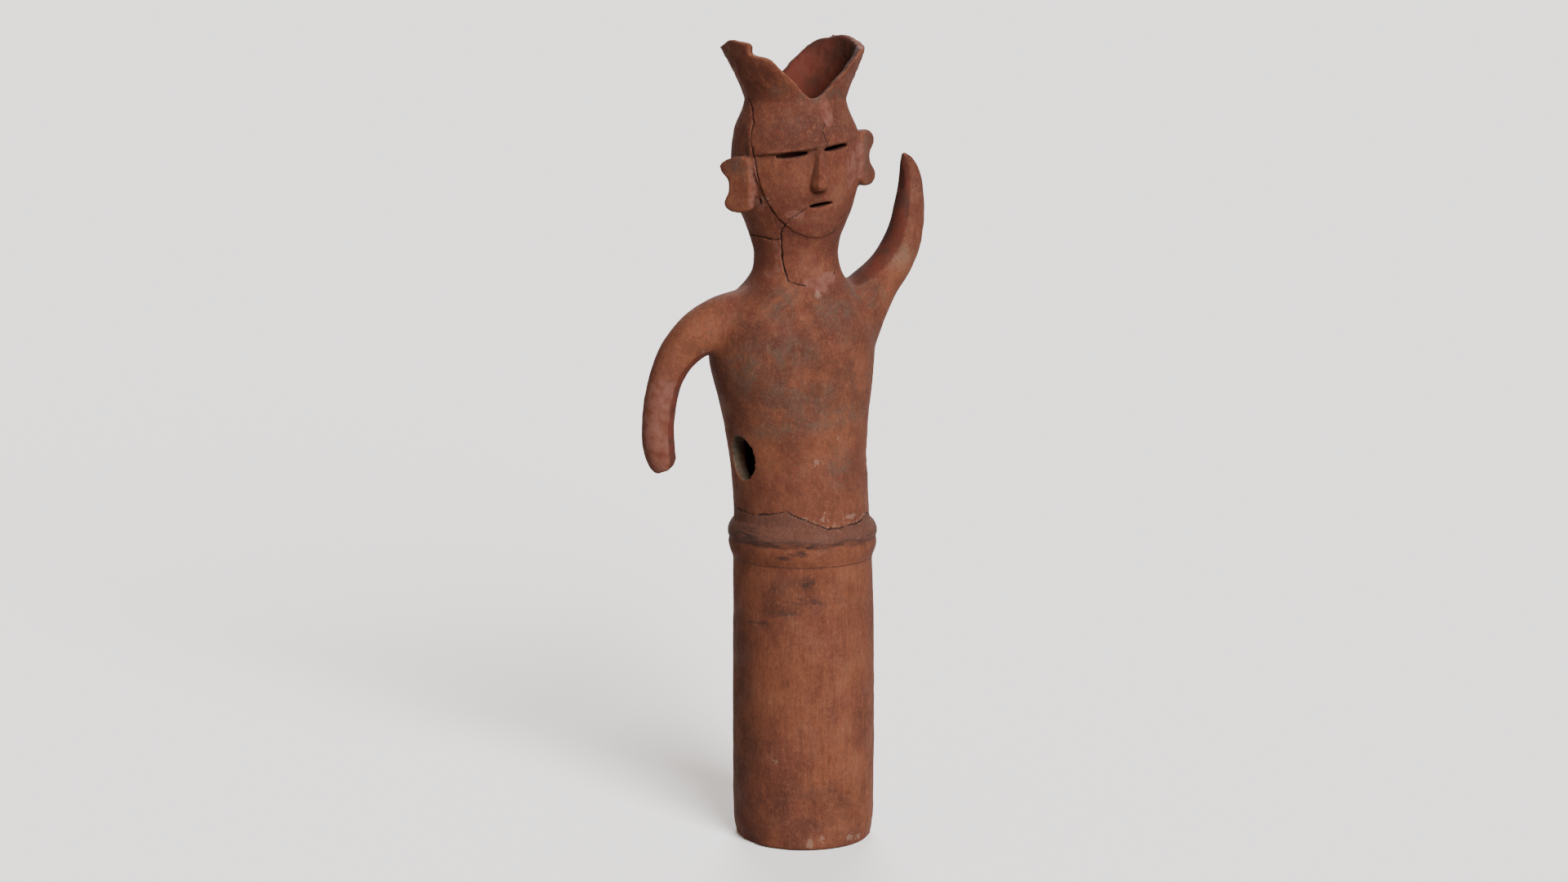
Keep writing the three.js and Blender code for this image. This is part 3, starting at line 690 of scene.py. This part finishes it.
class Nodes:
    """Short names for building a node tree."""

    def __init__(self, material):
        material.use_nodes = True
        self.tree = material.node_tree
        self.tree.nodes.clear()
        self.place = self.new("ShaderNodeTexCoord").outputs["Object"]

    def new(self, kind, **settings):
        node = self.tree.nodes.new(kind)
        for key, value in settings.items():
            setattr(node, key, value)
        return node

    def join(self, socket, value):
        if isinstance(value, bpy.types.NodeSocket):
            self.tree.links.new(value, socket)
        else:
            socket.default_value = value

    def math(self, operation, a, b):
        node = self.new("ShaderNodeMath", operation=operation)
        self.join(node.inputs[0], a)
        self.join(node.inputs[1], b)
        return node.outputs[0]

    def times(self, first, *others):
        """The product of all the values."""
        for other in others:
            first = self.math("MULTIPLY", first, other)
        return first

    def value(self, name):
        node = self.new("ShaderNodeAttribute", attribute_name=name)
        return node.outputs["Fac"]

    def scaled(self, size, stretch, shift):
        """The place in units of a size in millimetres, drawn out upwards by stretch."""
        node = self.new("ShaderNodeMapping")
        self.join(node.inputs["Vector"], self.place)
        unit = 1 / (size * MM)
        node.inputs["Scale"].default_value = (unit, unit, unit / stretch)
        node.inputs["Location"].default_value = (shift, shift * 0.7, shift * 1.3)
        return node.outputs["Vector"]

    def noise(self, size, detail, stretch=1.0, shift=0.0, rough=0.5):
        """Noise of 0 to 1 with lumps of a size in millimetres, drawn out upwards by stretch."""
        node = self.new("ShaderNodeTexNoise")
        self.join(node.inputs["Vector"], self.scaled(size, stretch, shift))
        node.inputs["Scale"].default_value = 1
        node.inputs["Detail"].default_value = detail
        node.inputs["Roughness"].default_value = rough
        return node.outputs["Fac"]

    def span(self, value, a, b, low=0.0, high=1.0):
        """Low at a, high at b and smooth between them."""
        node = self.new("ShaderNodeMapRange", clamp=True, interpolation_type="SMOOTHSTEP")
        self.join(node.inputs["Value"], value)
        node.inputs["From Min"].default_value = a
        node.inputs["From Max"].default_value = b
        node.inputs["To Min"].default_value = low
        node.inputs["To Max"].default_value = high
        return node.outputs["Result"]

    def blend(self, share, a, b):
        node = self.new("ShaderNodeMix", data_type="RGBA")
        self.join(node.inputs[0], share)
        self.join(node.inputs[6], a)
        self.join(node.inputs[7], b)
        return node.outputs[2]

    def clouded(self, name, size, shift, share, stretch=1.0):
        """An attribute seen through noise, so that it fades in wisps."""
        wisps = self.span(self.noise(size, 5, stretch, shift, 0.62), 0.36, 0.62)
        return self.times(self.value(name), wisps, share)

    def flaked(self, name, size, shift, share, amount):
        """An attribute with a crisp edge, ragged by an amount."""
        rough = self.math("SUBTRACT", self.noise(size, 4, 1, shift, 0.6), 0.5)
        edge = self.math("ADD", self.value(name), self.times(rough, amount))
        return self.times(self.span(edge, 0.33, 0.62), share)


RED = linear(121, 61, 42)
ORANGE = linear(150, 84, 54)
SAND = linear(168, 108, 77)
DEEP = linear(80, 39, 27)
CLOUD = linear(100, 84, 70)
PINK = linear(148, 94, 80)
BLOODY = linear(118, 50, 33)
ASH = linear(150, 122, 98)
SMOOTH = linear(106, 70, 58)
# Soot for the smudges, and also the painted shade in the dips and in the hoop's finger groove
SOOT_AND_SHADE = linear(54, 34, 30)
CHALK = linear(184, 148, 128)
# The cracks' colour, also used as painted shade along the hoop's groove line and lip
CRACK_AND_SEAM_SHADE = linear(30, 18, 15)
CUT = linear(120, 124, 106)
EDGE = linear(164, 98, 68)
# Painted shade of the figure's inside
INNER_SHADE = linear(112, 42, 25)
GRIT = linear(52, 44, 38)


def clay_material():
    material = bpy.data.materials.new("fired_clay")
    n = Nodes(material)
    broad = n.noise(60, detail=4, stretch=1.3)
    mottle = n.noise(22, detail=5, stretch=1.2, shift=3, rough=0.6)
    grain = n.noise(1.1, detail=2, shift=8)
    crumb = n.noise(3.4, detail=5, stretch=1.3, shift=41, rough=0.75)
    strokes = n.noise(1.5, detail=3, stretch=12, shift=5, rough=0.6)
    long_strokes = n.noise(5, detail=3, stretch=14, shift=25, rough=0.6)
    specks = n.span(n.noise(2.4, detail=3, shift=21, rough=0.7), 0.5, 0.72)
    dots = n.span(n.noise(1.7, detail=4, shift=4, rough=0.75), 0.62, 0.7)
    sparse = n.span(n.noise(11, detail=3, shift=9), 0.42, 0.58)
    light = n.span(n.noise(2.1, detail=4, shift=11, rough=0.75), 0.66, 0.72)
    thinly = n.span(n.noise(16, detail=2, shift=19), 0.42, 0.6)
    wiped = n.value("wiped")
    grit = n.value("grit")
    dots = n.times(dots, sparse, grit)
    plaster = n.flaked("plaster", size=8, shift=6, share=0.85, amount=0.8)
    pink = n.blend(n.span(n.noise(8, detail=4, shift=12), 0.35, 0.7), PINK, RED)
    # The painted shade of the figure's inside, clouded
    shaded_inside = n.blend(n.span(n.noise(18, detail=5, shift=16, rough=0.6), 0.4, 0.65), INNER_SHADE, DEEP)
    cut = n.blend(n.span(n.noise(5, detail=3, shift=17), 0.35, 0.7), CUT, CLOUD)

    # Each layer of colour with its share, from the lowest to the topmost
    layers = [
        (ORANGE, n.span(broad, 0.36, 0.64)),
        (ORANGE, n.clouded("warm", size=18, shift=1, share=0.75)),
        (BLOODY, n.clouded("blood", size=14, shift=31, share=0.75)),
        (DEEP, n.span(mottle, 0.5, 0.7, high=0.38)),
        (SAND, n.span(mottle, 0.48, 0.3, high=0.3)),
        (DEEP, n.clouded("deeper", size=30, shift=33, share=0.62)),
        (SMOOTH, n.times(n.value("band"), 0.75)),
        (CLOUD, n.clouded("grey", size=11, shift=2, share=0.6)),
        (ASH, n.clouded("ash", size=14, shift=35, share=0.55)),
        (CLOUD, n.times(specks, grit, 0.5)),
        (DEEP, n.span(crumb, 0.52, 0.68, high=0.5)),
        (SAND, n.span(crumb, 0.47, 0.34, high=0.42)),
        (DEEP, n.times(n.span(long_strokes, 0.46, 0.7, high=0.26), wiped)),
        (DEEP, n.times(n.span(strokes, 0.5, 0.7, high=0.24), wiped)),
        (SAND, n.times(n.span(strokes, 0.5, 0.32, high=0.12), wiped)),
        (DEEP, n.span(grain, 0.52, 0.72, high=0.34)),
        (SAND, n.span(grain, 0.5, 0.3, high=0.24)),
        (GRIT, n.times(dots, 0.75)),
        (CHALK, n.times(light, thinly, 0.4)),
        (pink, plaster),
        # Dark smudges, and painted shade in the hoop's finger groove
        (SOOT_AND_SHADE, n.clouded("smudge_and_groove_shade", size=12, shift=13, share=0.85, stretch=0.22)),
        # Painted shade in the dips
        (SOOT_AND_SHADE, n.times(n.value("painted_dip_shade"), 0.45)),
        (EDGE, n.clouded("edge", size=4, shift=23, share=0.5)),
        (EDGE, n.clouded("rim", size=5, shift=15, share=0.7)),
        (CHALK, n.flaked("pale", size=2.2, shift=14, share=0.42, amount=2)),
        # Painted shade inside the figure
        (shaded_inside, n.times(n.value("inside"), 0.8)),
        (cut, n.times(n.value("cut"), 0.8)),
        # The cracks, and painted shade along the hoop's groove line and lip
        (CRACK_AND_SEAM_SHADE, n.span(n.value("dark_lines"), 0.2, 0.8, high=0.92)),
    ]
    colour = RED
    for tint, share in layers:
        colour = n.blend(share, colour, tint)

    lumps = n.math("ADD", n.times(strokes, 0.5, wiped), n.times(crumb, 0.7))
    relief = n.times(lumps, n.math("SUBTRACT", 1.0, plaster))
    relief = n.math("ADD", relief, n.times(grain, 0.4))
    relief = n.math("SUBTRACT", relief, n.times(dots, 0.3))
    bump = n.new("ShaderNodeBump")
    bump.inputs["Strength"].default_value = 0.9
    bump.inputs["Distance"].default_value = BUMP_HEIGHT * MM
    n.join(bump.inputs["Height"], relief)
    shader = n.new("ShaderNodeBsdfPrincipled")
    n.join(shader.inputs["Base Color"], colour)
    n.join(shader.inputs["Normal"], bump.outputs["Normal"])
    n.join(shader.inputs["Roughness"], n.span(mottle, 0.3, 0.7, low=0.8, high=0.95))
    shader.inputs["Specular IOR Level"].default_value = 0.25
    output = n.new("ShaderNodeOutputMaterial")
    n.join(output.inputs["Surface"], shader.outputs["BSDF"])
    return material


def build_clay():
    obj = clay_copy()
    unevenness(obj)
    thin_out(obj)
    routes = crack_points(surface_tree(obj))
    refine(obj, routes)
    share = cut_cracks(obj, routes)
    paint(obj, share)
    obj.data.materials.clear()
    obj.data.materials.append(clay_material())
    obj.data.shade_smooth()
    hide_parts(NODE)
    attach(obj, "root")


FLOOR_HALF_WIDTH = 400  # in metres
FLOOR_COLOUR = (0.9, 0.9, 0.9, 1)


def stage():
    """A very wide pale floor that fills the frame behind the figure."""
    half = FLOOR_HALF_WIDTH
    mesh = bpy.data.meshes.new("floor")
    corners = [(-half, -half, 0), (half, -half, 0), (half, half, 0), (-half, half, 0)]
    mesh.from_pydata(corners, [], [(0, 1, 2, 3)])
    floor = link("floor", mesh)
    material = bpy.data.materials.new("pale_floor")
    material.use_nodes = True
    shader = material.node_tree.nodes["Principled BSDF"]
    shader.inputs["Base Color"].default_value = FLOOR_COLOUR
    shader.inputs["Roughness"].default_value = 1
    shader.inputs["Specular IOR Level"].default_value = 0
    mesh.materials.append(material)
    floor.location.z = low.z
    floor.visible_diffuse = False


# Soft light in a pale room: a wide key lamp to the right of the camera, and a weaker one behind
# the figure that lights the floor and the figure's back
KEY = {"azimuth": 5, "elevation": 27, "strength": 9.5, "spread": 32}
BACK = {"azimuth": 159, "elevation": 38, "strength": 3.2, "spread": 30}
ROOM_STRENGTH = 0.36
ROOM_COLOUR = (1, 0.72, 0.56, 1)  # warm, as light thrown back by fired clay


def lamp(name, azimuth, elevation, strength, spread):
    """A far, soft lamp in a direction from the figure, all angles in degrees."""
    light = bpy.data.lights.new(name, "SUN")
    light.energy = strength
    light.angle = math.radians(spread)
    turn, rise = math.radians(azimuth), math.radians(elevation)
    flat = math.cos(rise)
    towards = Vector((-math.sin(turn) * flat, math.cos(turn) * flat, -math.sin(rise)))
    holder = link(name, light)
    holder.rotation_mode = "QUATERNION"
    holder.rotation_quaternion = towards.to_track_quat("-Z", "Y")


def lights():
    world = bpy.data.worlds.new("studio")
    world.use_nodes = True
    background = world.node_tree.nodes["Background"]
    background.inputs["Color"].default_value = ROOM_COLOUR
    background.inputs["Strength"].default_value = ROOM_STRENGTH
    bpy.context.scene.world = world
    lamp("key", **KEY)
    lamp("back", **BACK)


# The camera, in millimetres from the foot of the base's axis
CAMERA_PLACE = (-1041.08, -2661.07, 850.18)
CAMERA_AIM = (-17.08, 6.56, 377.14)
CAMERA_LENS = 71.25
CAMERA_SENSOR = 36
CAMERA_FAR = 1000  # in metres


def camera():
    data = bpy.data.cameras.new("camera")
    data.lens = CAMERA_LENS
    data.sensor_width = CAMERA_SENSOR
    data.clip_end = CAMERA_FAR
    view = link("camera", data)
    place = Vector(to_metres(CAMERA_PLACE))
    aim = Vector(to_metres(CAMERA_AIM))
    view.location = place
    view.rotation_mode = "QUATERNION"
    view.rotation_quaternion = (aim - place).to_track_quat("-Z", "Y")
    bpy.context.scene.camera = view


build_clay()
stage()
lights()
camera()
